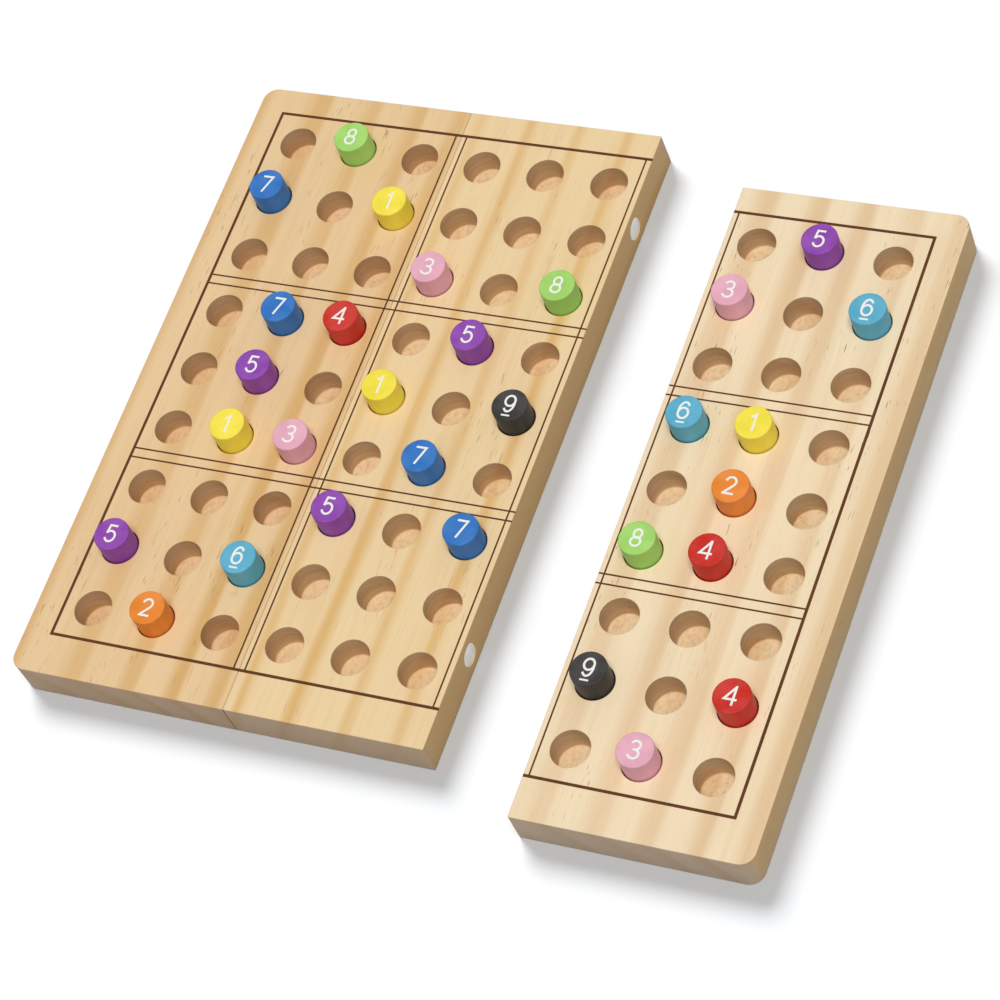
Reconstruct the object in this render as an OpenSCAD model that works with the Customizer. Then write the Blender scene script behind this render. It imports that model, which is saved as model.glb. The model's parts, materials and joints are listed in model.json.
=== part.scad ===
// Sudoku board: three drilled wooden boards that meet edge to edge and are held together by
// magnets let into their mating edges, with numbered pegs standing in some of the blind holes.
// The origin lies on the underside, below the middle hole of the middle board.
// X runs across the columns, Y towards the first row and Z up.

/* [Pegs] */
// Diameter of a painted peg
peg_d = 12.2; // [10:0.1:14]
// Length of a peg from end to end
peg_l = 18.5; // [13:0.5:24]
// Width of the chamfer round each end of a peg
peg_chamfer = 0.5; // [0.2:0.1:1.5]

/* [Holes] */
// Distance between the centres of neighbouring holes
hole_pitch = 23.5; // [20:0.5:30]
// Depth of a hole
hole_depth = 10; // [6:0.2:11]
// How much wider a hole is than its peg
peg_play = 0.8; // [0.3:0.1:1.5]

/* [Boards] */
// Thickness of a board
board_t = 14; // [12:0.5:18]
// From the outermost column of holes to the board's outer side
side_margin = 20.5; // [14:0.5:30]
// From the first row of holes to the far end
far_margin = 21.5; // [14:0.5:30]
// From the last row of holes to the near end
near_margin = 26; // [14:0.5:40]
// Radius of the rounded outer corners
corner_r = 5; // [2:0.5:10]
// Width of the eased edge round every face
arris = 0.3; // [0.2:0.1:1.2]

/* [Loose board] */
// How far the right board stands off its mate
apart_x = 34.5; // [0:0.5:80]
// How far the right board is drawn towards the near end
apart_y = 16; // [0:0.5:60]

/* [Magnets] */
// Diameter of a magnet
magnet_d = 8; // [4:0.5:9]
// Thickness of a magnet
magnet_t = 3; // [1:0.5:4]
// Width of the chamfer round each face of a magnet
magnet_chamfer = 0.3; // [0.1:0.1:0.5]
// How deep a magnet's face lies below the mating edge
magnet_recess = 0.2; // [0.1:0.1:0.5]
// Room for glue all round a magnet
glue_gap = 0.05; // [0.02:0.01:0.2]

/* [Hidden] */
$fn = 64;

// Counts of the sudoku grid
rows = 9;
block = 3;

// Sizes that follow from the ones above
hole_d = peg_d + peg_play;
hole_floor = board_t - hole_depth;
board_pitch = block * hole_pitch;
mate_x = board_pitch / 2;
outer_x = (block - 1) / 2 * hole_pitch + side_margin;
first_row_y = (rows - 1) / 2 * hole_pitch;
far_y = first_row_y + far_margin;
near_y = -first_row_y - near_margin;
magnet_y = first_row_y - hole_pitch / 2;
pocket_depth = magnet_t + magnet_recess;

// How far a cutting shape runs past the face that it cuts
overrun = 1;

// Where each board's middle column of holes lies
board_names = ["left", "middle", "right"];
board_places = [[-board_pitch, 0, 0], [0, 0, 0], [board_pitch + apart_x, -apart_y, 0]];

// Distances from a board's middle column to its left and right sides
left_sides = [outer_x, mate_x, mate_x];
right_sides = [mate_x, mate_x, outer_x];

// The side of each board that has rounded corners: -1 is left, 1 is right, 0 is none
round_sides = [-1, 0, 1];

// Mating edges as board and side, and the two magnets along each edge as name and direction
mating_edges = [[0, 1], [1, -1], [1, 1], [2, -1]];
magnet_ends = [["far", 1], ["near", -1]];
side_names = ["left", "", "right"];

// The numbers that stand in each board's holes, first row first, with 0 for an empty hole
left_clues = [
    [0, 8, 0],
    [7, 0, 1],
    [0, 0, 0],
    [0, 7, 4],
    [0, 5, 0],
    [0, 1, 3],
    [0, 0, 0],
    [5, 0, 6],
    [0, 2, 0]
];
middle_clues = [
    [0, 0, 0],
    [0, 0, 0],
    [3, 0, 8],
    [0, 5, 0],
    [1, 0, 9],
    [0, 7, 0],
    [5, 0, 7],
    [0, 0, 0],
    [0, 0, 0]
];
right_clues = [
    [0, 5, 0],
    [3, 0, 6],
    [0, 0, 0],
    [6, 1, 0],
    [0, 2, 0],
    [8, 4, 0],
    [0, 0, 0],
    [9, 0, 4],
    [0, 3, 0]
];
clues = [left_clues, middle_clues, right_clues];

// Paint of the pegs, from 1 to 9
peg_colours = [
    "gold", "darkorange", "pink", "crimson", "rebeccapurple",
    "skyblue", "royalblue", "yellowgreen", "dimgray"
];

// Every peg as its board, row and column
pegs = [
    for (b = [0 : len(clues) - 1], r = [0 : rows - 1], c = [0 : block - 1])
        if (clues[b][r][c] > 0) [b, r, c]
];

function board_name(b) = str(board_names[b], "_board");
function peg_number(p) = clues[p[0]][p[1]][p[2]];
function peg_name(p) = str(board_names[p[0]], "_r", p[1] + 1, "c", p[2] + 1, "_peg_", peg_number(p));
function magnet_name(edge, end) =
    str(board_names[edge[0]], "_board_", side_names[edge[1] + 1], "_magnet_", end[0]);
function hole_place(r, c) = [(c - (block - 1) / 2) * hole_pitch, first_row_y - r * hole_pitch, hole_floor];

// Rectangle from one corner to the other with its four corners cut at 45 degrees
module eased_rectangle(low, high, ease) {
    polygon([
        [low.x + ease, low.y], [high.x - ease, low.y], [high.x, low.y + ease], [high.x, high.y - ease],
        [high.x - ease, high.y], [low.x + ease, high.y], [low.x, high.y - ease], [low.x, low.y + ease]
    ]);
}

// Block with eased edges on its straight sides
module eased_block(low, high) {
    intersection() {
        linear_extrude(high.z) eased_rectangle([low.x, low.y], [high.x, high.y], arris);
        translate([0, high.y, 0]) rotate([90, 0, 0])
            linear_extrude(high.y - low.y) eased_rectangle([low.x, low.z], [high.x, high.z], arris);
        translate([low.x, 0, 0]) rotate([90, 0, 90])
            linear_extrude(high.x - low.x) eased_rectangle([low.y, low.z], [high.y, high.z], arris);
    }
}

// What a rounded corner leaves out of a square one, eased edges included, for the corner at +X +Y
module corner_waste() {
    difference() {
        translate([0, 0, -overrun]) cube([corner_r + overrun, corner_r + overrun, board_t + 2 * overrun]);
        rotate_extrude() polygon([
            [0, 0], [corner_r - arris, 0], [corner_r, arris],
            [corner_r, board_t - arris], [corner_r - arris, board_t], [0, board_t]
        ]);
    }
}

// Disc with chamfered rims, standing on the XY plane
module chamfered_disc(d, h, chamfer) {
    rotate_extrude() polygon([
        [0, 0], [d / 2 - chamfer, 0], [d / 2, chamfer], [d / 2, h - chamfer], [d / 2 - chamfer, h], [0, h]
    ]);
}

// Carries a shape that points along +Z to the magnet's seat, pointing out of the mating edge
module at_magnet_seat(edge, end) {
    translate([edge[1] * (mate_x - pocket_depth), end[1] * magnet_y, board_t / 2])
        rotate([0, edge[1] * 90, 0]) children();
}

module board(b) {
    low = [-left_sides[b], near_y, 0];
    high = [right_sides[b], far_y, board_t];
    side = round_sides[b];
    color("burlywood") translate(board_places[b]) difference() {
        eased_block(low, high);
        if (side != 0) for (end = [0, 1])
            translate([side * (outer_x - corner_r), end == 1 ? far_y - corner_r : near_y + corner_r, 0])
                mirror([side < 0 ? 1 : 0, 0, 0]) mirror([0, end == 1 ? 0 : 1, 0]) corner_waste();
        for (r = [0 : rows - 1], c = [0 : block - 1])
            translate(hole_place(r, c)) cylinder(d = hole_d, h = hole_depth + overrun);
        for (edge = mating_edges, end = magnet_ends) if (edge[0] == b)
            at_magnet_seat(edge, end) cylinder(d = magnet_d + 2 * glue_gap, h = pocket_depth + overrun);
    }
}

module magnet(edge, end) {
    color("gainsboro") translate(board_places[edge[0]])
        at_magnet_seat(edge, end) chamfered_disc(magnet_d, magnet_t, magnet_chamfer);
}

module peg(p) {
    color(peg_colours[peg_number(p) - 1]) translate(board_places[p[0]] + hole_place(p[1], p[2]))
        chamfered_disc(peg_d, peg_l, peg_chamfer);
}

for (b = [0 : len(board_names) - 1])
    board(b);
for (edge = mating_edges, end = magnet_ends)
    magnet(edge, end);
for (p = pegs)
    peg(p);
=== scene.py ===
# %% [markdown]
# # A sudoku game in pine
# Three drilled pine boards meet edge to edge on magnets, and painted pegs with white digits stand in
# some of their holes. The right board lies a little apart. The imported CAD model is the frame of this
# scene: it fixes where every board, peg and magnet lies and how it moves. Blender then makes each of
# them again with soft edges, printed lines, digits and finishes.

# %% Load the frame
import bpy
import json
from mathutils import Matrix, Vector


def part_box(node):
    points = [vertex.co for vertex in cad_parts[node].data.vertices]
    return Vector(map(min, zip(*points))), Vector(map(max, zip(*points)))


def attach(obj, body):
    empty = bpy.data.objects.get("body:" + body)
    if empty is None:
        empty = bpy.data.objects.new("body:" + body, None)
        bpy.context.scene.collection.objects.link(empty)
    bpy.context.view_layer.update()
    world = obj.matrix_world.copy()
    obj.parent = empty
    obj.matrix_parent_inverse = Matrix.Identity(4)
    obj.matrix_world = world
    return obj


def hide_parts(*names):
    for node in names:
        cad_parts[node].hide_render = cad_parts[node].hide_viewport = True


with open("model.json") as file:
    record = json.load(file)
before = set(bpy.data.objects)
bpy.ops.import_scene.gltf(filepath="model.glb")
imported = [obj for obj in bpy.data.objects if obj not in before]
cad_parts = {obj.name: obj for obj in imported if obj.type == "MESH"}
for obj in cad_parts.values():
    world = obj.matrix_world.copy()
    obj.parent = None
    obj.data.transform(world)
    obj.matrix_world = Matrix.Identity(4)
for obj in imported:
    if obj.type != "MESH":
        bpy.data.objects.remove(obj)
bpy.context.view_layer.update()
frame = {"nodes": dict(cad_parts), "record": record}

# %% [markdown]
# ## Sizes that come from the frame
# A size that is typed twice can go wrong twice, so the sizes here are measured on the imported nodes.
# The middle board is exactly three hole pitches wide, the record states the radius and the depth of
# a hole, and the corner radius and eased edges show in where the CAD faces end.

# %% Measure the boards, the pegs and the holes
import json
from math import cos, pi, radians, sin

import bmesh
import bpy
from mathutils import Matrix, Vector

MM = 0.001
TINY = 0.01 * MM
BOARDS = ["left", "middle", "right"]
ROWS, COLUMNS = 9, 3

peg_names = [name for name in frame["nodes"] if "_peg_" in name]
magnet_names = [name for name in frame["nodes"] if "_magnet_" in name]
middle_low, middle_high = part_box("middle_board")
pitch = (middle_high.x - middle_low.x) / COLUMNS
bore = next(m["dims"] for m in frame["record"]["mounts"] if m["kind"] == "bore")
hole_r, hole_depth = bore["r_mm"] * MM, bore["length_mm"] * MM


def corner_points(node):
    return [vert.co for vert in frame["nodes"][node].data.vertices]


left_low, left_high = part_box("left_board")
board_top = left_high.z
arris = min(p.x for p in corner_points("left_board") if abs(p.z - board_top) < TINY) - left_low.x
corner_r = left_high.y - max(p.y for p in corner_points("left_board") if abs(p.x - left_low.x) < TINY)
print(f"pitch {pitch / MM:.2f}, hole radius {hole_r / MM:.2f} and depth {hole_depth / MM:.2f},",
      f"corners {corner_r / MM:.2f}, eased edges {arris / MM:.2f} mm")


# %% Find the middle hole of each board
def middle_hole(board):
    """Works back from one peg of the board, whose name tells its row and column, as in r1c2."""
    name = next(n for n in peg_names if n.startswith(board))
    place = name.split("_")[1]
    row, column = int(place[1]), int(place[3])
    low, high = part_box(name)
    spot = (low + high) / 2
    spot.x -= (column - (COLUMNS + 1) / 2) * pitch
    spot.y -= ((ROWS + 1) / 2 - row) * pitch
    return Vector((spot.x, spot.y, 0))


grid = {board: middle_hole(board) for board in BOARDS}
print({board: [round(x / MM, 2) for x in spot.xy] for board, spot in grid.items()})

# %% [markdown]
# ## A way to write shaders
# Finishes here are sums over a few procedural textures. Nodes could be wired one by one, but the sums
# get lost in the wiring. So one small class wraps a socket, and ordinary arithmetic on it adds Math
# nodes. Every other node comes from one method, which sets its options first and then its sockets.


# %% Wrap a socket for arithmetic
class Wire:
    """A value on its way through a finish."""

    def __init__(self, finish, socket):
        self.finish, self.socket = finish, socket

    def maths(self, operation, *values):
        return self.finish.node("Math", {"operation": operation}, dict(enumerate(values)))

    def __add__(self, other):
        return self.maths("ADD", self, other)

    def __sub__(self, other):
        return self.maths("SUBTRACT", self, other)

    def __rsub__(self, other):
        return self.maths("SUBTRACT", other, self)

    def __mul__(self, other):
        return self.maths("MULTIPLY", self, other)

    def __truediv__(self, other):
        return self.maths("DIVIDE", self, other)

    def __pow__(self, other):
        return self.maths("POWER", self, other)

    def __mod__(self, other):
        return self.maths("FLOORED_MODULO", self, other)

    def __abs__(self):
        return self.maths("ABSOLUTE", self)

    def at_least(self, other):
        return self.maths("MAXIMUM", self, other)

    __radd__, __rmul__ = __add__, __mul__


# %% Gather the nodes of a material or of the room
class Nodes:
    def __init__(self, owner):
        owner.use_nodes = True
        self.tree = owner.node_tree

    def node(self, kind, settings={}, sockets={}, output=0):
        made = self.tree.nodes.new("ShaderNode" + kind)
        for name, value in settings.items():
            setattr(made, name, value)
        for name, value in sockets.items():
            self.feed(made.inputs[name], value)
        return Wire(self, made.outputs[output])

    def feed(self, socket, value):
        if isinstance(value, Wire):
            self.tree.links.new(value.socket, socket)
        else:
            socket.default_value = value


# %% Gather what the finishes share
class Finish(Nodes):
    """A material, with the textures that the finishes of this game share."""

    def __init__(self, name):
        self.material = bpy.data.materials.new(name)
        super().__init__(self.material)
        self.shader = self.tree.nodes["Principled BSDF"]
        self.place = self.node("TexCoord", output="Object")

    def wear(self, **values):
        """Sets the shader's own sockets, named with _ for a space."""
        for name, value in values.items():
            self.feed(self.shader.inputs[name.replace("_", " ").title().replace("Ior", "IOR")], value)
        return self.material

    def noise(self, stretch, shift=(0, 0, 0), detail=2.0):
        """Clouds whose size along X, Y and Z is one over the stretch, in metres."""
        spot = self.node("Mapping", {}, {"Vector": self.place, "Location": shift, "Scale": stretch})
        return self.node("TexNoise", {}, {"Vector": spot, "Scale": 1.0, "Detail": detail})

    def rise(self, value, low, high):
        """Goes smoothly from 0 at low to 1 at high."""
        settings = {"interpolation_type": "SMOOTHSTEP"}
        return self.node("MapRange", settings, {"Value": value, "From Min": low, "From Max": high})

    def fall(self, value, low, high):
        """Goes smoothly from 1 at low to 0 at high."""
        return 1 - self.rise(value, low, high)

    def blend(self, share, one, other):
        """A mix of two colours, with the given share of the other."""
        return self.node("Mix", {"data_type": "RGBA"}, {0: share, 6: one, 7: other}, output=2)

    def relief(self, height, depth):
        """Bump from a height that runs from 0 to 1, for a real depth in metres."""
        return self.node("Bump", {}, {"Height": height, "Distance": depth, "Strength": 1.0})


def tone(red, green, blue):
    """A colour as a screen shows it, 0 to 255, as the linear colour that shaders work in."""
    return tuple(((c / 255 + 0.055) / 1.055) ** 2.4 for c in (red, green, blue)) + (1.0,)


# %% [markdown]
# ## Pine
# Sawn pine shows its yearly rings: broad pale early wood, then a narrower amber band of late wood
# that ends sharply. The rings are tubes round the heart of the tree, so the finish measures how far
# a point lies from that heart and repeats a band per year. Boards cut from one such solid pattern
# show stripes on top, arcs on the ends and matching bands inside the holes, with no seams. Fibres
# and short resin flecks, both stretched along the grain, break the stripes up.

# %% Grow the yearly rings
DRIFT, WAVE = 14 * MM, 3 * MM
LATE_RISE, YEAR_END = 0.6, 0.84


def late_wood(wood, board, axes, heart, year, early, seed):
    """1 in the late wood of each year and 0 in the early wood, which takes the given share."""
    drift = wood.noise((9, 2.2, 9), (seed, 0, 0)) - 0.5
    wave = wood.noise((45, 7, 45), (0, seed, 0)) - 0.5
    beside = axes["X"] - (grid[board].x + heart[0]) + drift * DRIFT + wave * WAVE
    above = axes["Z"] - heart[1]
    age = (beside * beside + above * above) ** 0.5 / year
    season = age % 1.0
    return wood.rise(season, early, early + LATE_RISE * (1 - early)) * wood.fall(season, YEAR_END, 1.0)


# %% Lay the grain over the rings
FIBRE_TONE, FLECK_TONE = tone(180, 130, 80), tone(140, 92, 52)


def planed(wood, late, pale, amber, band, flecks, seed):
    """The colour of planed wood, its fibres, and a height for its relief."""
    strength = wood.rise(wood.noise((30, 3, 30), (0, 0, seed)), 0.3, 0.7) * 0.6 + 0.4
    fibres = wood.noise((1500, 28, 1500), (seed, seed, 0), detail=3.0)
    streaks = wood.noise((260, 9, 260), (0, seed, seed), detail=3.0)
    clouds = wood.noise((70, 30, 70), (seed, 0, 0))
    dashes = wood.noise((1900, 170, 1900), (seed, 0, seed), detail=1.0)
    where = wood.noise((70, 18, 70), (seed, seed, seed))
    fleck = wood.rise(dashes, 0.66, 0.74) * wood.rise(where, 0.48, 0.64)
    colour = wood.blend(late * strength * band, pale, amber)
    colour = wood.blend((streaks - 0.45) * 0.7 + (clouds - 0.5) * 0.5, colour, amber)
    colour = wood.blend((fibres - 0.45) * 0.35, colour, FIBRE_TONE)
    colour = wood.blend(fleck * flecks, colour, FLECK_TONE)
    return colour, fibres, fibres * 0.6 + late * 0.25 - fleck * 0.5


# %% [markdown]
# ## Wood that tools have touched, and painted shade
# The saw leaves the outer walls duller than the planed top, and pinker where they cut across the
# grain. The drill scrapes the floors of its holes, and their walls are painted darker in rings: partly
# the drill's burnish and partly painted shade. The right board's holes take a darker tone, which is
# painted shade, and the eased edges along the joint that stays shut get painted shade as in a gap.
# Such places could be painted by hand, but the board's own measures already tell where they are, so
# each gets a mask from its distance to an edge or to a hole.

# %% Tell the drilled wood from the rest
RIM_FADE, BORDER_FADE, WALL_FADE = (0.1 * MM, 0.4 * MM), (1 * MM, 2 * MM), (0.1 * MM, 0.6 * MM)


def drilled(wood, board, axes):
    """1 on the floor and walls of the holes and 0 elsewhere, and 1 on their walls alone."""
    across = axes["X"] - grid[board].x
    along = axes["Y"] - grid[board].y
    bottom = board_top - hole_depth
    reach = sum(((way + pitch / 2) % pitch - pitch / 2) ** 2.0 for way in (across, along)) ** 0.5
    field = wood.fall(reach, hole_r + RIM_FADE[0], hole_r + RIM_FADE[1])
    for way, count in ((across, COLUMNS), (along, ROWS)):
        border = count * pitch / 2
        field = field * wood.fall(abs(way), border - BORDER_FADE[1], border - BORDER_FADE[0])
    field = field * wood.fall(axes["Z"], board_top - RIM_FADE[1], board_top - RIM_FADE[0])
    field = field * wood.rise(axes["Z"], bottom - BORDER_FADE[1], bottom - BORDER_FADE[0])
    return field, field * wood.rise(reach, hole_r - WALL_FADE[1], hole_r - WALL_FADE[0])


# %% Tell the sawn walls from the rest
SAWN_FADE, TOP_FADE = (0.1 * MM, 0.5 * MM), (0.05 * MM, 0.3 * MM)


def sawn(wood, board, axes):
    """1 on the board's outer walls and 0 elsewhere, and 1 where such a wall shows end grain."""
    low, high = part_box(f"{board}_board")
    past = [(abs(axes[axis] - (start + end) / 2) - ((end - start) / 2 - corner_r)).at_least(0)
            for axis, start, end in (("X", low.x, high.x), ("Y", low.y, high.y))]
    out = sum(way ** 2.0 for way in past) ** 0.5
    wall = wood.rise(out, corner_r - SAWN_FADE[1], corner_r - SAWN_FADE[0])
    wall = wall * wood.fall(axes["Z"], high.z - TOP_FADE[1], high.z - TOP_FADE[0])
    return wall, wood.rise(past[1] / (out + TINY), 0.3, 0.8)


# %% Tell the edges of a shut joint from the rest
JOINT_HAIR, JOINT_FADE = 0.02 * MM, 0.1 * MM


def shut_edge(wood, board, side, axes):
    """1 on the eased edges along the board's right side, or its left side for -1, and 0 elsewhere."""
    low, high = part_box(f"{board}_board")
    inset = high.x - axes["X"] if side > 0 else axes["X"] - low.x
    return wood.rise(inset, 0, JOINT_HAIR) * wood.fall(inset, arris, arris + JOINT_FADE)


# %% Colour what the tools have touched, and paint shade in the holes and along the joint
SAWN_TONE, END_GRAIN_TONE = tone(226, 181, 118), tone(200, 173, 154)
# The burnished-and-shaded tone is the drill's burnish mixed with painted shade, and the seam tone is painted
# shade along the shut joint.
BURNISHED_AND_SHADED_TONE, SCRAPED_TONE, SEAM_SHADE_TONE = tone(158, 112, 70), tone(170, 126, 82), tone(142, 100, 62)


def worked(wood, board, axes, colour, fresh_and_shaded_tone, shut, seed):
    """Lays the sawn walls, the drilled holes with burnish and painted shade on their walls, and painted
    shade along the eased edges of a shut joint over a colour.
    """
    outside, end_grain = sawn(wood, board, axes)
    colour = wood.blend(outside * 0.6, colour, wood.blend(end_grain, SAWN_TONE, END_GRAIN_TONE))
    hole, wall = drilled(wood, board, axes)
    rings = wood.noise((90, 90, 1100), (0, 0, seed), detail=3.0)
    scrapes = wood.noise((820, 620, 820), (seed, 0, 0), detail=3.0)
    # A tone over the holes: on the left and middle boards the pinkish colour of fresh-cut wood, on the right
    # board a darker tone that is painted shade in its holes.
    colour = wood.blend(hole * 0.3, colour, fresh_and_shaded_tone)
    # Darker rings on the hole walls: partly the drill's burnish, partly painted shade inside the holes.
    colour = wood.blend(wall * (rings * 0.6 + 0.05), colour, BURNISHED_AND_SHADED_TONE)
    colour = wood.blend((hole - wall) * (scrapes - 0.42) * 1.1, colour, SCRAPED_TONE)
    # Painted shade on the eased edges along the shut joint, standing in for the shade of the gap between the
    # boards.
    if shut:
        seam_shade = shut_edge(wood, board, shut, axes) * (outside * 0.5 + 0.12)
        colour = wood.blend(seam_shade, colour, SEAM_SHADE_TONE)
    return colour


# %% Define the three pine finishes
def pine(board, heart, year, early, pale, amber, fresh_and_shaded_tone, band, flecks, seed, shut=None):
    """Heart is where the tree's middle lies, in metres beside and above the board's middle."""
    wood = Finish(f"{board}_pine")
    axes = {axis: wood.node("SeparateXYZ", {}, {0: wood.place}, output=axis) for axis in "XYZ"}
    late = late_wood(wood, board, axes, heart, year, early, seed)
    colour, fibres, height = planed(wood, late, pale, amber, band, flecks, seed)
    colour = worked(wood, board, axes, colour, fresh_and_shaded_tone, shut, seed)
    return wood.wear(base_color=colour, roughness=0.6 + 0.16 * fibres, specular_ior_level=0.25,
                     normal=wood.relief(height, 0.03 * MM))


TIMBERS = {
    "left": dict(heart=(-0.085, -0.075), year=0.0125, early=0.4, band=0.85, flecks=0.55, seed=3.1, shut=1,
                 pale=tone(234, 202, 157), amber=tone(214, 168, 103), fresh_and_shaded_tone=tone(222, 192, 162)),
    "middle": dict(heart=(0.15, -0.06), year=0.0165, early=0.6, band=0.8, flecks=0.35, seed=7.7, shut=-1,
                   pale=tone(238, 210, 164), amber=tone(219, 171, 100), fresh_and_shaded_tone=tone(222, 192, 162)),
    # The right board's darker hole tone is painted shade in its holes.
    "right": dict(heart=(-0.11, -0.09), year=0.0125, early=0.35, band=0.7, flecks=0.7, seed=12.4,
                  pale=tone(244, 223, 188), amber=tone(222, 184, 138), fresh_and_shaded_tone=tone(205, 166, 110)),
}
woods = {board: pine(board, **facts) for board, facts in TIMBERS.items()}
print("pine finishes:", [material.name for material in woods.values()])

# %% [markdown]
# ## Turning round shapes
# Holes, pegs and magnets are all round, as a drill or a lathe leaves them. A subdivided cylinder
# would do, but an outline spun about its axis gives exact radii and keeps every edge where it is
# drawn. The outline is a few points; its corners are rounded before the spin.

# %% Spin an outline
EASE_STEPS = 3


def turned(outline, rounded, steps):
    """Outline holds (radius, height) points, and rounded the radius at a corner by its index."""
    bm = bmesh.new()
    points = [bm.verts.new((radius, 0, height)) for radius, height in outline]
    for pair in zip(points, points[1:]):
        bm.edges.new(pair)
    for index, radius in rounded.items():
        bmesh.ops.bevel(bm, geom=[points[index]], offset=radius, offset_type="OFFSET", affect="VERTICES",
                        segments=EASE_STEPS, profile=0.5, material=-1)
    bmesh.ops.spin(bm, geom=bm.verts[:] + bm.edges[:], cent=(0, 0, 0), axis=(0, 0, 1), angle=2 * pi,
                   steps=steps, use_merge=True)
    bmesh.ops.remove_doubles(bm, verts=bm.verts, dist=TINY)
    bmesh.ops.recalc_face_normals(bm, faces=bm.faces)
    return bm


# %% Hand a mesh over to the scene
SHARP = radians(35)


def place_piece(name, bm, material, body):
    """Makes an object of a bmesh, shaded smooth but for its sharp edges, and rides it on a body."""
    mesh = bpy.data.meshes.new(name)
    for face in bm.faces:
        face.smooth = True
    bm.to_mesh(mesh)
    bm.free()
    mesh.set_sharp_from_angle(angle=SHARP)
    mesh.materials.append(material)
    piece = bpy.data.objects.new(name, mesh)
    bpy.context.scene.collection.objects.link(piece)
    flat = piece.modifiers.new("flat faces stay flat", "WEIGHTED_NORMAL")
    flat.keep_sharp = True
    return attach(piece, body)


# %% [markdown]
# ## The drilled boards
# Each board carries 27 blind holes. A Boolean could cut them from a block, but it leaves long thin
# faces that shade badly. Instead one hole is spun and bridged to the square of board round it, and
# that tile is laid nine by three. The margins, the walls and the underside then grow from its border.

# %% Make one tile with its hole
HOLE_SIDES = 48
RIM_EASE, FLOOR_EASE, COLLAR = 0.25 * MM, 0.4 * MM, 0.6 * MM
POINT_R, POINT_DEPTH = 0.8 * MM, 0.5 * MM


def drilled_tile():
    outline = [(hole_r + COLLAR, 0), (hole_r, 0), (hole_r, -hole_depth), (POINT_R, -hole_depth),
               (0, -hole_depth - POINT_DEPTH)]
    bm = turned(outline, {1: RIM_EASE, 2: FLOOR_EASE}, HOLE_SIDES)
    rim = [edge for edge in bm.edges if edge.is_boundary]
    eighth_turn = Matrix.Rotation(pi / 4, 4, "Z")
    square = bmesh.ops.create_circle(bm, segments=4, radius=pitch / 2 ** 0.5, matrix=eighth_turn)
    sides = list({edge for vert in square["verts"] for edge in vert.link_edges})
    bmesh.ops.subdivide_edges(bm, edges=sides, cuts=HOLE_SIDES // 4 - 1)
    bmesh.ops.bridge_loops(bm, edges=rim + [edge for edge in bm.edges if edge.is_wire])
    return bm


# %% Lay the tiles and grow the board round them
def verts_of(result):
    return [item for item in result["geom"] if isinstance(item, bmesh.types.BMVert)]


def grow(bm, edges, shift):
    bmesh.ops.translate(bm, verts=verts_of(bmesh.ops.extrude_edge_only(bm, edges=edges)), vec=shift)


def open_edges(bm, axis=None, level=0.0):
    """The edges round a mesh's openings, all of them or those at one level of an axis."""
    return [edge for edge in bm.edges if edge.is_boundary
            and (axis is None or all(abs(vert.co[axis] - level) < TINY for vert in edge.verts))]


def blank_board(board):
    low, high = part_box(f"{board}_board")
    bm = drilled_tile()
    tile = bm.verts[:] + bm.edges[:] + bm.faces[:]
    for row in range(-(ROWS // 2), ROWS // 2 + 1):
        for column in range(-(COLUMNS // 2), COLUMNS // 2 + 1):
            if row or column:
                copy = verts_of(bmesh.ops.duplicate(bm, geom=tile))
                bmesh.ops.translate(bm, verts=copy, vec=(column * pitch, row * pitch, 0))
    bmesh.ops.translate(bm, verts=bm.verts, vec=grid[board] + Vector((0, 0, high.z)))
    bmesh.ops.remove_doubles(bm, verts=bm.verts, dist=TINY)
    for axis, tiles in enumerate((COLUMNS, ROWS)):
        for side, end in ((-1, low), (1, high)):
            level = grid[board][axis] + side * tiles * pitch / 2
            shift = Vector((0, 0, 0))
            shift[axis] = end[axis] - level
            if shift.length > TINY:
                grow(bm, open_edges(bm, axis, level), shift)
    grow(bm, open_edges(bm), (0, 0, low.z - high.z))
    bmesh.ops.edgeloop_fill(bm, edges=open_edges(bm))
    bmesh.ops.recalc_face_normals(bm, faces=bm.faces)
    return bm


# %% [markdown]
# ## Corners, magnet pockets and eased edges
# The outer corners of the game are rounded, while the mating edges stay straight so that the boards
# meet without a gap. Two pockets in each mating edge take the magnets. A drill opens them on the real
# board. Here a patch of the wall is taken out, and its border is copied, drawn in to a circle and
# pushed in. Each point keeps its neighbours that way, so the mouth can't twist as a bridge might.

# %% Round the outer corners
CORNER_STEPS = 8


def at(vert, axis, *levels):
    return any(abs(vert.co[axis] - level) < TINY for level in levels)


def round_corners(bm, board):
    low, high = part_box(f"{board}_board")
    outer = {"left": low.x, "right": high.x}.get(board)
    if outer is None:
        return
    posts = [edge for edge in bm.edges
             if all(at(vert, 0, outer) and at(vert, 1, low.y, high.y) for vert in edge.verts)]
    bmesh.ops.bevel(bm, geom=posts, offset=corner_r, offset_type="OFFSET", affect="EDGES",
                    segments=CORNER_STEPS, profile=0.5, material=-1)


# %% Sink the magnet pockets
POCKET_ROOM, POCKET_PATCH, POCKET_SIDES = 0.05 * MM, 1.2 * MM, 32


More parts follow.
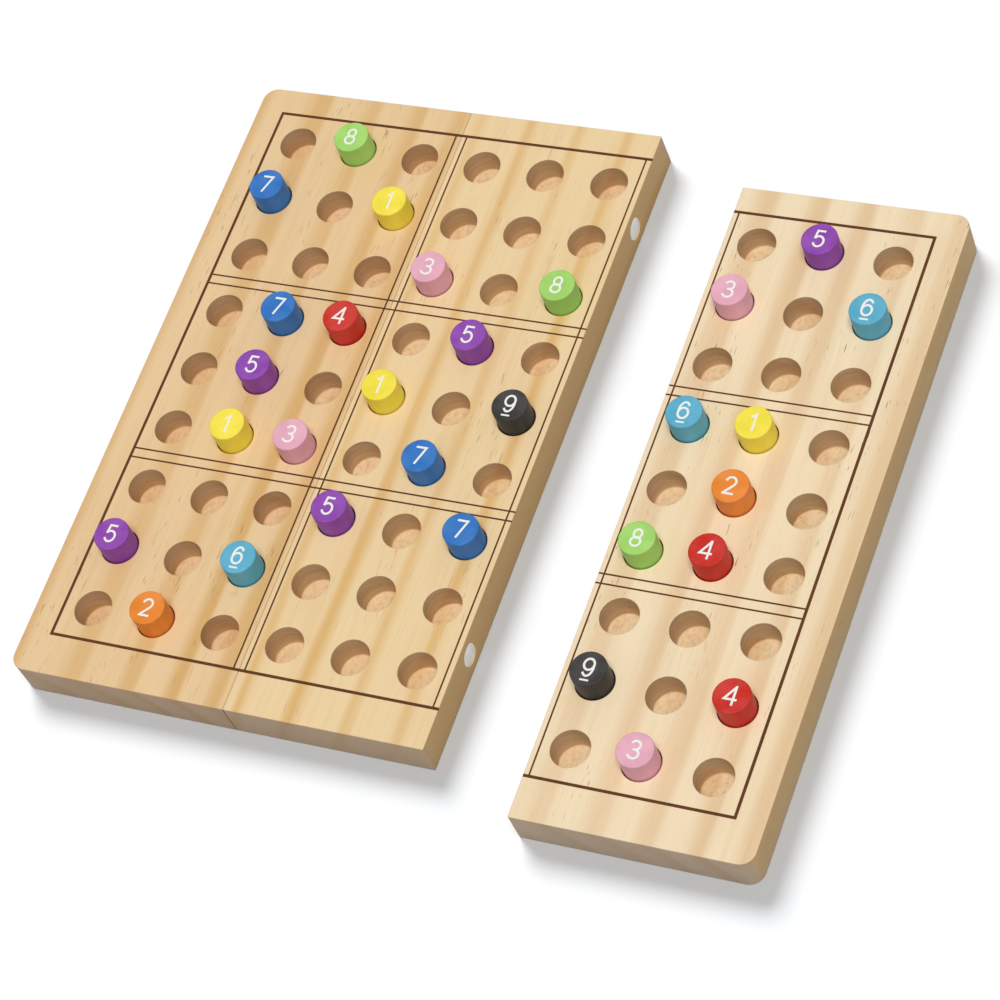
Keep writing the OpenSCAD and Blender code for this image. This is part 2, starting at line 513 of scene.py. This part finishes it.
def sink_pocket(bm, board, magnet):
    low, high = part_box(magnet)
    spot = (low + high) / 2
    board_low, board_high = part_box(f"{board}_board")
    wall = min(board_low.x, board_high.x, key=lambda x: abs(x - spot.x))
    inner = max(low.x, high.x, key=lambda x: abs(x - wall))
    patch = [face for face in bm.faces if all(at(vert, 0, wall) for vert in face.verts)
             and abs(face.calc_center_median().y - spot.y) < pitch / 4]
    bmesh.ops.inset_region(bm, faces=patch, thickness=POCKET_PATCH, use_even_offset=True, use_boundary=True)
    bmesh.ops.delete(bm, geom=patch, context="FACES")
    posts = [edge for edge in open_edges(bm) if at(edge.verts[0], 1, edge.verts[1].co.y)]
    bmesh.ops.subdivide_edges(bm, edges=posts, cuts=(POCKET_SIDES - len(open_edges(bm))) // 2)
    spot.x, radius = wall, (high.y - low.y) / 2 + POCKET_ROOM
    for vert in verts_of(bmesh.ops.extrude_edge_only(bm, edges=open_edges(bm))):
        vert.co = spot + (vert.co - spot).normalized() * radius
    grow(bm, open_edges(bm), (inner - wall, 0, 0))
    bmesh.ops.edgeloop_fill(bm, edges=open_edges(bm))


# %% Ease the edges
EASED_TURN = radians(60)


def ease_edges(bm, board):
    low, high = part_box(f"{board}_board")

    def eased(edge):
        one, other = edge.verts
        flat = any(at(one, 2, z) and at(other, 2, z) for z in (low.z, high.z))
        post = all(at(vert, 0, low.x, high.x) and at(vert, 1, low.y, high.y) for vert in edge.verts)
        return (flat or post) and edge.calc_face_angle(0) > EASED_TURN

    bmesh.ops.bevel(bm, geom=[edge for edge in bm.edges if eased(edge)], offset=arris, offset_type="OFFSET",
                    affect="EDGES", segments=EASE_STEPS, profile=0.5, material=-1)


# %% Make the three boards
for board in BOARDS:
    bm = blank_board(board)
    round_corners(bm, board)
    for magnet in magnet_names:
        if magnet.startswith(board):
            sink_pocket(bm, board, magnet)
    ease_edges(bm, board)
    bmesh.ops.remove_doubles(bm, verts=bm.verts, dist=TINY / 10)
    bmesh.ops.recalc_face_normals(bm, faces=bm.faces)
    loose = [edge for edge in bm.edges if len(edge.link_faces) != 2]
    print(f"{board} board: {len(bm.faces)} faces, {len(loose)} edges not shared by two of them,",
          f"{bm.calc_volume() / MM ** 3:.0f} cubic millimetres")
    piece = place_piece(f"{board}_board_wood", bm, woods[board], f"{board}_panel")
    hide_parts(f"{board}_board")

# %% [markdown]
# ## Printed lines
# Dark brown lines mark the nine blocks: a bold frame round the whole game, and a fine line on both
# sides of every joint and block border. Ink could be painted by the wood's finish, but the lines are
# narrower than most bakes can hold. So each board gets a thin film of ink: one sheet, cut along every
# line's edges, from which the faces between the lines are taken away. Lines that cross a joint bend
# down over the eased edges, so that they meet when the boards are shut.

# %% Define the ink
ink = Finish("brown_ink")
ink_grain = ink.noise((1400, 40, 1400), detail=3.0)
ink.wear(base_color=ink.blend(ink_grain, tone(72, 38, 16), tone(112, 68, 38)),
         roughness=0.7 + 0.2 * ink_grain, specular_ior_level=0.2, normal=ink.relief(ink_grain, 0.01 * MM))
print("ink finish:", ink.material.name)

# %% Say where the lines run
BOLD, FINE = 1.05 * MM, 0.6 * MM
FRAME_X, FRAME_Y = 10.6 * MM, 11.6 * MM
JOINT_GAP, BORDER_GAP = 2.0 * MM, 1.74 * MM


def line_bands(board):
    """(from, to) of every line across X and across Y, the outermost first and last."""
    half = COLUMNS * pitch / 2
    sides = {-1: (-half + JOINT_GAP, FINE), 1: (half - JOINT_GAP, FINE)}
    outer = {"left": -1, "right": 1}.get(board)
    if outer:
        sides[outer] = (outer * (half - pitch / 2 + FRAME_X), BOLD)
    reach = (ROWS - 1) / 2 * pitch + FRAME_Y
    across = [(y, FINE) for border in (-half, half) for y in (border - BORDER_GAP, border + BORDER_GAP)]
    across = [(-reach, BOLD), *across, (reach, BOLD)]

    def bands(lines, middle):
        return [(middle + level - width / 2, middle + level + width / 2) for level, width in lines]

    return bands([sides[-1], sides[1]], grid[board].x), bands(across, grid[board].y)


print("lines on a board:", [len(bands) for bands in line_bands("left")])

# %% Cut the ink from a sheet
INK_FILM, INK_ROOT = 0.03 * MM, 0.05 * MM
BEND_SHARES = (0.1, 0.4, 1.0)


def ink_lines(board):
    low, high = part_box(f"{board}_board")
    bands = line_bands(board)
    first = [bands[0][0][0], bands[1][0][0]]
    last = [bands[0][-1][1], bands[1][-1][1]]
    if board != "left":
        first[0] = low.x
    if board != "right":
        last[0] = high.x
    size = Vector((last[0] - first[0], last[1] - first[1], 1))
    middle = Vector(((last[0] + first[0]) / 2, (last[1] + first[1]) / 2, high.z - INK_ROOT))
    bm = bmesh.new()
    bmesh.ops.create_grid(bm, x_segments=1, y_segments=1, size=0.5,
                          matrix=Matrix.Translation(middle) @ Matrix.Diagonal((*size, 1)))
    cuts = [{level for band in bands[axis] for level in band} for axis in (0, 1)]
    for share in BEND_SHARES:
        cuts[0] |= {low.x + share * arris, high.x - share * arris}
    for axis in (0, 1):
        normal = Vector((axis == 0, axis == 1, 0))
        for level in sorted(cuts[axis]):
            bmesh.ops.bisect_plane(bm, geom=bm.verts[:] + bm.edges[:] + bm.faces[:], dist=TINY / 10,
                                   plane_co=normal * level, plane_no=normal)

    def inked(face):
        spot = face.calc_center_median()
        return any(start < spot[axis] < end for axis in (0, 1) for start, end in bands[axis])

    bmesh.ops.delete(bm, geom=[face for face in bm.faces if not inked(face)], context="FACES")
    top = verts_of(bmesh.ops.extrude_face_region(bm, geom=bm.faces[:]))
    bmesh.ops.translate(bm, verts=top, vec=(0, 0, INK_ROOT + INK_FILM))
    for vert in bm.verts:
        inset = min(vert.co.x - low.x, high.x - vert.co.x) / arris
        if inset < 1:
            vert.co.z -= arris * (1 - (1 - (1 - inset) ** 2) ** 0.5)
    bmesh.ops.recalc_face_normals(bm, faces=bm.faces)
    return bm


for board in BOARDS:
    bm = ink_lines(board)
    print(f"{board} lines: {len(bm.faces)} faces, {bm.calc_volume() / MM ** 3:.2f} cubic millimetres of ink")
    place_piece(f"{board}_board_lines", bm, ink.material, f"{board}_panel")

# %% [markdown]
# ## Magnets
# A pair of small nickel-plated discs sits a hair below each mating edge. Plain cylinders would have
# rims as sharp as knives, so the discs are turned from an outline with eased corners and then laid on
# their sides. Plating is a metal with a soft blur, and fine scratches vary its roughness.

# %% Turn the magnets
nickel = Finish("nickel_plate")
scuffs = nickel.noise((700, 700, 700), detail=4.0)
nickel.wear(base_color=nickel.blend(scuffs, tone(232, 232, 230), tone(248, 248, 247)), metallic=1.0,
            roughness=0.3 + 0.2 * scuffs, normal=nickel.relief(scuffs, 0.004 * MM))
MAGNET_EASE, MAGNET_SIDES = 0.3 * MM, 40

for name in magnet_names:
    low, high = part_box(name)
    radius, thick = (high.y - low.y) / 2, high.x - low.x
    bm = turned([(0, -thick / 2), (radius, -thick / 2), (radius, thick / 2), (0, thick / 2)],
                {1: MAGNET_EASE, 2: MAGNET_EASE}, MAGNET_SIDES)
    seat = Matrix.Translation((low + high) / 2) @ Matrix.Rotation(pi / 2, 4, "Y")
    bmesh.ops.transform(bm, matrix=seat, verts=bm.verts)
    piece = place_piece(f"{name}_disc", bm, nickel.material, name.split("_")[0] + "_panel")
    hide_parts(name)
print(len(magnet_names), "magnets, radius", round(radius / MM, 2), "mm")

# %% [markdown]
# ## Painted pegs
# Every number has its own colour. The pegs are dowels dipped in satin paint. One flat colour would
# pass for plastic, so the finish adds a slight cloudiness, a soft sheen and a trace of the wood's pores
# under the paint. The pegs themselves are turned, each with the rims of its CAD node.

# %% Define the paints
PAINTS = {
    1: ("yellow", tone(254, 234, 73)),
    2: ("orange", tone(241, 139, 47)),
    3: ("pink", tone(238, 176, 196)),
    4: ("red", tone(208, 44, 32)),
    5: ("purple", tone(146, 70, 178)),
    6: ("light_blue", tone(92, 178, 210)),
    7: ("blue", tone(48, 119, 199)),
    8: ("green", tone(167, 221, 110)),
    9: ("black", tone(52, 49, 48)),
}
DEEP_SHARE, THIN_SHARE = 0.9, 0.03


def paint(colour_name, colour):
    coat = Finish(f"{colour_name}_paint")
    cloud = coat.noise((160, 160, 60), detail=3.0)
    pores = coat.noise((1800, 1800, 260))
    deep = tuple(c * DEEP_SHARE for c in colour[:3]) + (1.0,)
    thin = tuple(c + (1 - c) * THIN_SHARE for c in colour[:3]) + (1.0,)
    shade = coat.blend(coat.rise(cloud, 0.3, 0.7), deep, thin)
    shade = coat.blend(coat.rise(pores, 0.62, 0.8) * 0.25, shade, deep)
    return coat.wear(base_color=shade, roughness=0.45 + 0.18 * cloud, specular_ior_level=0.2,
                     normal=coat.relief(pores * 0.7 + cloud * 0.3, 0.015 * MM))


paints = {number: paint(*facts) for number, facts in PAINTS.items()}
print("paints:", [material.name for material in paints.values()])

# %% Turn the pegs
PEG_SIDES = 48

for name in peg_names:
    low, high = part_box(name)
    number = int(name[-1])
    radius, length = (high.x - low.x) / 2, high.z - low.z
    ease = high.x - max(p.x for p in corner_points(name) if abs(p.z - high.z) < TINY)
    bm = turned([(0, 0), (radius, 0), (radius, length), (0, length)], {1: ease, 2: ease}, PEG_SIDES)
    bmesh.ops.translate(bm, verts=bm.verts, vec=((low.x + high.x) / 2, (low.y + high.y) / 2, low.z))
    piece = place_piece(f"{name}_dowel", bm, paints[number], name)
    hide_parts(name)
print(f"{len(peg_names)} pegs, radius {radius / MM:.2f}, length {length / MM:.2f}, rims {ease / MM:.2f} mm")

# %% [markdown]
# ## Digits
# The digits are printed in white in a light upright face without serifs. A text object would bring a
# typeface of its own, so a pen draws them instead: a straight nib is dragged along a few lines and
# arcs, and extruded at each step. A 6 and a 9 are underlined, so that they aren't mistaken.

# %% Drag a nib along a path
CLOSE, SHARPEST_TURN = 1e-6, 0.4


def nib_frames(path, width):
    """A matrix for each point of the path, which carries a nib from -1/2 to 1/2 on X across it."""
    closed = (path[0] - path[-1]).length < CLOSE
    frames = []
    for index, spot in enumerate(path):
        before = path[index - 1] if index else path[-2] if closed else None
        after = path[index + 1] if index + 1 < len(path) else path[1] if closed else None
        legs = [(a, b) for a, b in ((before, spot), (spot, after)) if a is not None and b is not None]
        ways = [(b - a).normalized() for a, b in legs]
        along = sum(ways, Vector((0, 0))).normalized()
        stretch = width / max(along.dot(ways[0]), SHARPEST_TURN)
        across = Vector((-along.y, along.x)) * stretch
        frames.append(Matrix(((across.x, along.x, 0, spot.x), (across.y, along.y, 0, spot.y),
                              (0, 0, 1, 0), (0, 0, 0, 1))))
    return frames


def pen_stroke(bm, path, width, low, high):
    frames = nib_frames(path, width)
    known = set(bm.faces)
    ends = [bm.verts.new(frames[0] @ Vector((x, 0, low))) for x in (-0.5, 0.5)]
    nib = bm.edges.new(ends)
    for here, there in zip(frames, frames[1:]):
        drawn = bmesh.ops.extrude_edge_only(bm, edges=[nib])
        bmesh.ops.transform(bm, matrix=there @ here.inverted(), verts=verts_of(drawn))
        nib = next(item for item in drawn["geom"] if isinstance(item, bmesh.types.BMEdge))
    ribbon = [face for face in bm.faces if face not in known]
    bmesh.ops.remove_doubles(bm, verts=list({vert for face in ribbon for vert in face.verts}), dist=CLOSE)
    ribbon = [face for face in bm.faces if face not in known]
    top = verts_of(bmesh.ops.extrude_face_region(bm, geom=ribbon))
    bmesh.ops.translate(bm, verts=top, vec=(0, 0, high - low))


# %% Say how the nine digits are drawn
WEIGHT, UNDERLINE_WEIGHT = 0.112, 0.09
EDGE = (1 - WEIGHT) / 2
ARC_STEP = 9


def line(*points):
    return [Vector(point) for point in points]


def arc(middle, radii, start, end):
    steps = max(4, round(abs(end - start) / ARC_STEP))
    angles = [radians(start + (end - start) * step / steps) for step in range(steps + 1)]
    return [Vector((middle[0] + radii[0] * cos(a), middle[1] + radii[1] * sin(a))) for a in angles]


def half_turn(paths):
    return [[-point for point in path] for path in paths]


UNDERLINE = line((-0.22, -0.66), (0.22, -0.66))
SIX = [arc((0, 0), (0.255, EDGE), 38, 200), arc((0, -0.157), (0.25, EDGE - 0.157), 0, 360)]
DIGITS = {
    1: [line((-0.15, 0.27), (0.0, 0.33), (0.075, 0.45), (0.075, -0.5))],
    2: [arc((0, 0.1875), (0.245, 0.25), 172, -42) + line((-0.235, -EDGE)),
        line((-0.29, -EDGE), (0.28, -EDGE))],
    3: [arc((-0.01, 0.225), (0.225, EDGE - 0.225), 160, -90) + line((-0.09, 0.0125)),
        line((-0.09, 0.0125)) + arc((-0.01, -0.2125), (0.255, 0.225), 90, -163)],
    4: [line((0.13, 0.5), (0.13, -0.5)), line((0.13, 0.45), (-0.3, -0.2), (0.31, -0.2))],
    5: [line((0.23, EDGE), (-0.165, EDGE), (-0.215, 0.0)),
        arc((0, -0.15), (0.255, EDGE - 0.15), 148, -160)],
    6: SIX + [UNDERLINE],
    7: [line((-0.27, EDGE), (0.265, EDGE), (-0.075, -0.5))],
    8: [arc((0, 0.22), (0.2, EDGE - 0.22), 0, 360), arc((0, -0.2075), (0.245, EDGE - 0.2075), 0, 360)],
    9: half_turn(SIX) + [UNDERLINE],
}
print("strokes of each digit:", {number: len(paths) for number, paths in DIGITS.items()})

# %% Print the digits on the pegs
white = Finish("white_print")
white_cloud = white.noise((900, 900, 900), detail=3.0)
white.wear(base_color=white.blend(white_cloud, tone(232, 231, 226), tone(250, 250, 247)),
           roughness=0.42 + 0.15 * white_cloud, normal=white.relief(white_cloud, 0.006 * MM))
DIGIT_HEIGHT = 6.7 * MM
PRINT_ROOT, PRINT_FILM, PRINT_STEP = 0.02 * MM, 0.035 * MM, 0.006 * MM
UNDERLINED_LIFT = 0.06

for name in peg_names:
    low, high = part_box(name)
    number = int(name[-1])
    bm = bmesh.new()
    for order, path in enumerate(DIGITS[number]):
        weight = UNDERLINE_WEIGHT if path is UNDERLINE else WEIGHT
        film = PRINT_FILM + order * PRINT_STEP
        pen_stroke(bm, path, weight, -PRINT_ROOT / DIGIT_HEIGHT, film / DIGIT_HEIGHT)
    lift = UNDERLINED_LIFT * DIGIT_HEIGHT if number in (6, 9) else 0.0
    spot = Matrix.Translation(((low.x + high.x) / 2, (low.y + high.y) / 2 + lift, high.z))
    bmesh.ops.transform(bm, matrix=spot @ Matrix.Scale(DIGIT_HEIGHT, 4), verts=bm.verts)
    bmesh.ops.recalc_face_normals(bm, faces=bm.faces)
    place_piece(f"{name}_digit", bm, white.material, name)
print(len(peg_names), "digits,", DIGIT_HEIGHT / MM, "mm high")

# %% [markdown]
# ## The studio
# The game lies on a white sweep in an evenly lit room, under a soft key light from high up at the near
# right. On one lamp alone the floor would come out grey, and more of it would bleach the wood. So a
# second lamp, from the far left, lights the sweep and nothing else: the floor turns white, and the
# game's soft shadow falls to the near right. Light that bounces off the floor stays weak, because
# only the camera and reflections see it as white.


# %% Tell what is looked at from light on its way
def seen(nodes):
    """1 for what the camera sees, also in metal and through glass, and 0 for light on its way."""
    ways = ("Camera", "Glossy", "Transmission")
    return sum(nodes.node("LightPath", output=f"Is {way} Ray") for way in ways)


# %% Lay the floor
PAPER_DARK, PAPER_LIGHT, PAPER_SEEN = (0.17, 0.17, 0.17, 1), (0.19, 0.19, 0.19, 1), (0.51, 0.516, 0.53, 1)
FLOOR_SIZE, FLOOR_DROP = 6.0, 0.05 * MM
paper = Finish("white_floor")
paper_tone = paper.blend(paper.noise((3, 3, 3)), PAPER_DARK, PAPER_LIGHT)
paper_tone = paper.blend(seen(paper), paper_tone, PAPER_SEEN)
paper.wear(base_color=paper_tone, roughness=0.9, specular_ior_level=0.0)

bm = bmesh.new()
bmesh.ops.create_grid(bm, x_segments=8, y_segments=8, size=FLOOR_SIZE / 2,
                      matrix=Matrix.Translation((0, 0, -FLOOR_DROP)))
mesh = bpy.data.meshes.new("floor")
bm.to_mesh(mesh)
bm.free()
mesh.materials.append(paper.material)
floor = bpy.data.objects.new("floor", mesh)
bpy.context.scene.collection.objects.link(floor)
print("floor:", FLOOR_SIZE, "metres square")

# %% Fill the room with light
ROOM_LIGHT, ROOM_TINT = 0.32, (0.92, 0.965, 1.0, 1)
world = bpy.data.worlds.new("room")
bpy.context.scene.world = world
room = Nodes(world)
fill = room.node("Background", {}, {"Color": ROOM_TINT, "Strength": ROOM_LIGHT})
backdrop = room.node("Background", {}, {"Color": (1, 1, 1, 1), "Strength": 1.0})
walls = room.node("MixShader", {}, {0: seen(room), 1: fill, 2: backdrop})
room.feed(room.tree.nodes["World Output"].inputs["Surface"], walls)
print("room light:", ROOM_LIGHT)

# %% Hang the lamps
LAMPS = {
    "key": dict(share=0.68, towards=(0.2, -0.2, 1.0), spread=24, colour=(1.0, 0.985, 0.95)),
    "sweep": dict(share=1.0, towards=(-0.6, 0.63, 1.0), spread=27, colour=(1.0, 1.0, 1.0)),
}
for name, facts in LAMPS.items():
    towards = Vector(facts["towards"]).normalized()
    light = bpy.data.lights.new(name, "SUN")
    light.energy = facts["share"] * pi / towards.z
    light.angle = radians(facts["spread"])
    light.color = facts["colour"]
    lamp = bpy.data.objects.new(name, light)
    lamp.rotation_euler = towards.to_track_quat("Z", "Y").to_euler()
    bpy.context.scene.collection.objects.link(lamp)
    if name == "sweep":
        lamp.light_linking.receiver_collection = bpy.data.collections.new("lit by the sweep light")
        lamp.light_linking.receiver_collection.objects.link(floor)
    print(f"{name} light: {light.energy:.2f} watts on a square metre")

# %% [markdown]
# ## The camera
# The view is from high up at the near right, with a long lens, and turned so that the long edges run
# up the picture. A camera could be aimed by eye, but the holes form a known grid, so its numbers were
# fitted to that grid.

# %% Set the camera
LENS, SENSOR, DISTANCE, SIGHT = 132.2, 36.0, 1169.6 * MM, 20.0
AZIMUTH, ELEVATION, ROLL = radians(-43.28), radians(54.36), radians(-27.80)
AIM = Vector((28.7 * MM, -30.1 * MM, board_top))
forward = Vector((sin(AZIMUTH) * cos(ELEVATION), cos(AZIMUTH) * cos(ELEVATION), -sin(ELEVATION)))
level = forward.cross(Vector((0, 0, 1))).normalized()
right = level * cos(ROLL) + level.cross(forward) * sin(ROLL)
turn = Matrix((right, right.cross(forward), -forward)).transposed().to_4x4()
camera = bpy.data.objects.new("camera", bpy.data.cameras.new("camera"))
camera.data.lens, camera.data.sensor_width, camera.data.clip_end = LENS, SENSOR, SIGHT
camera.matrix_world = Matrix.Translation(AIM - forward * DISTANCE) @ turn
bpy.context.scene.collection.objects.link(camera)
bpy.context.scene.camera = camera
bpy.context.scene.view_settings.view_transform = "Standard"
print("camera at", [round(x, 3) for x in camera.matrix_world.translation], "metres")
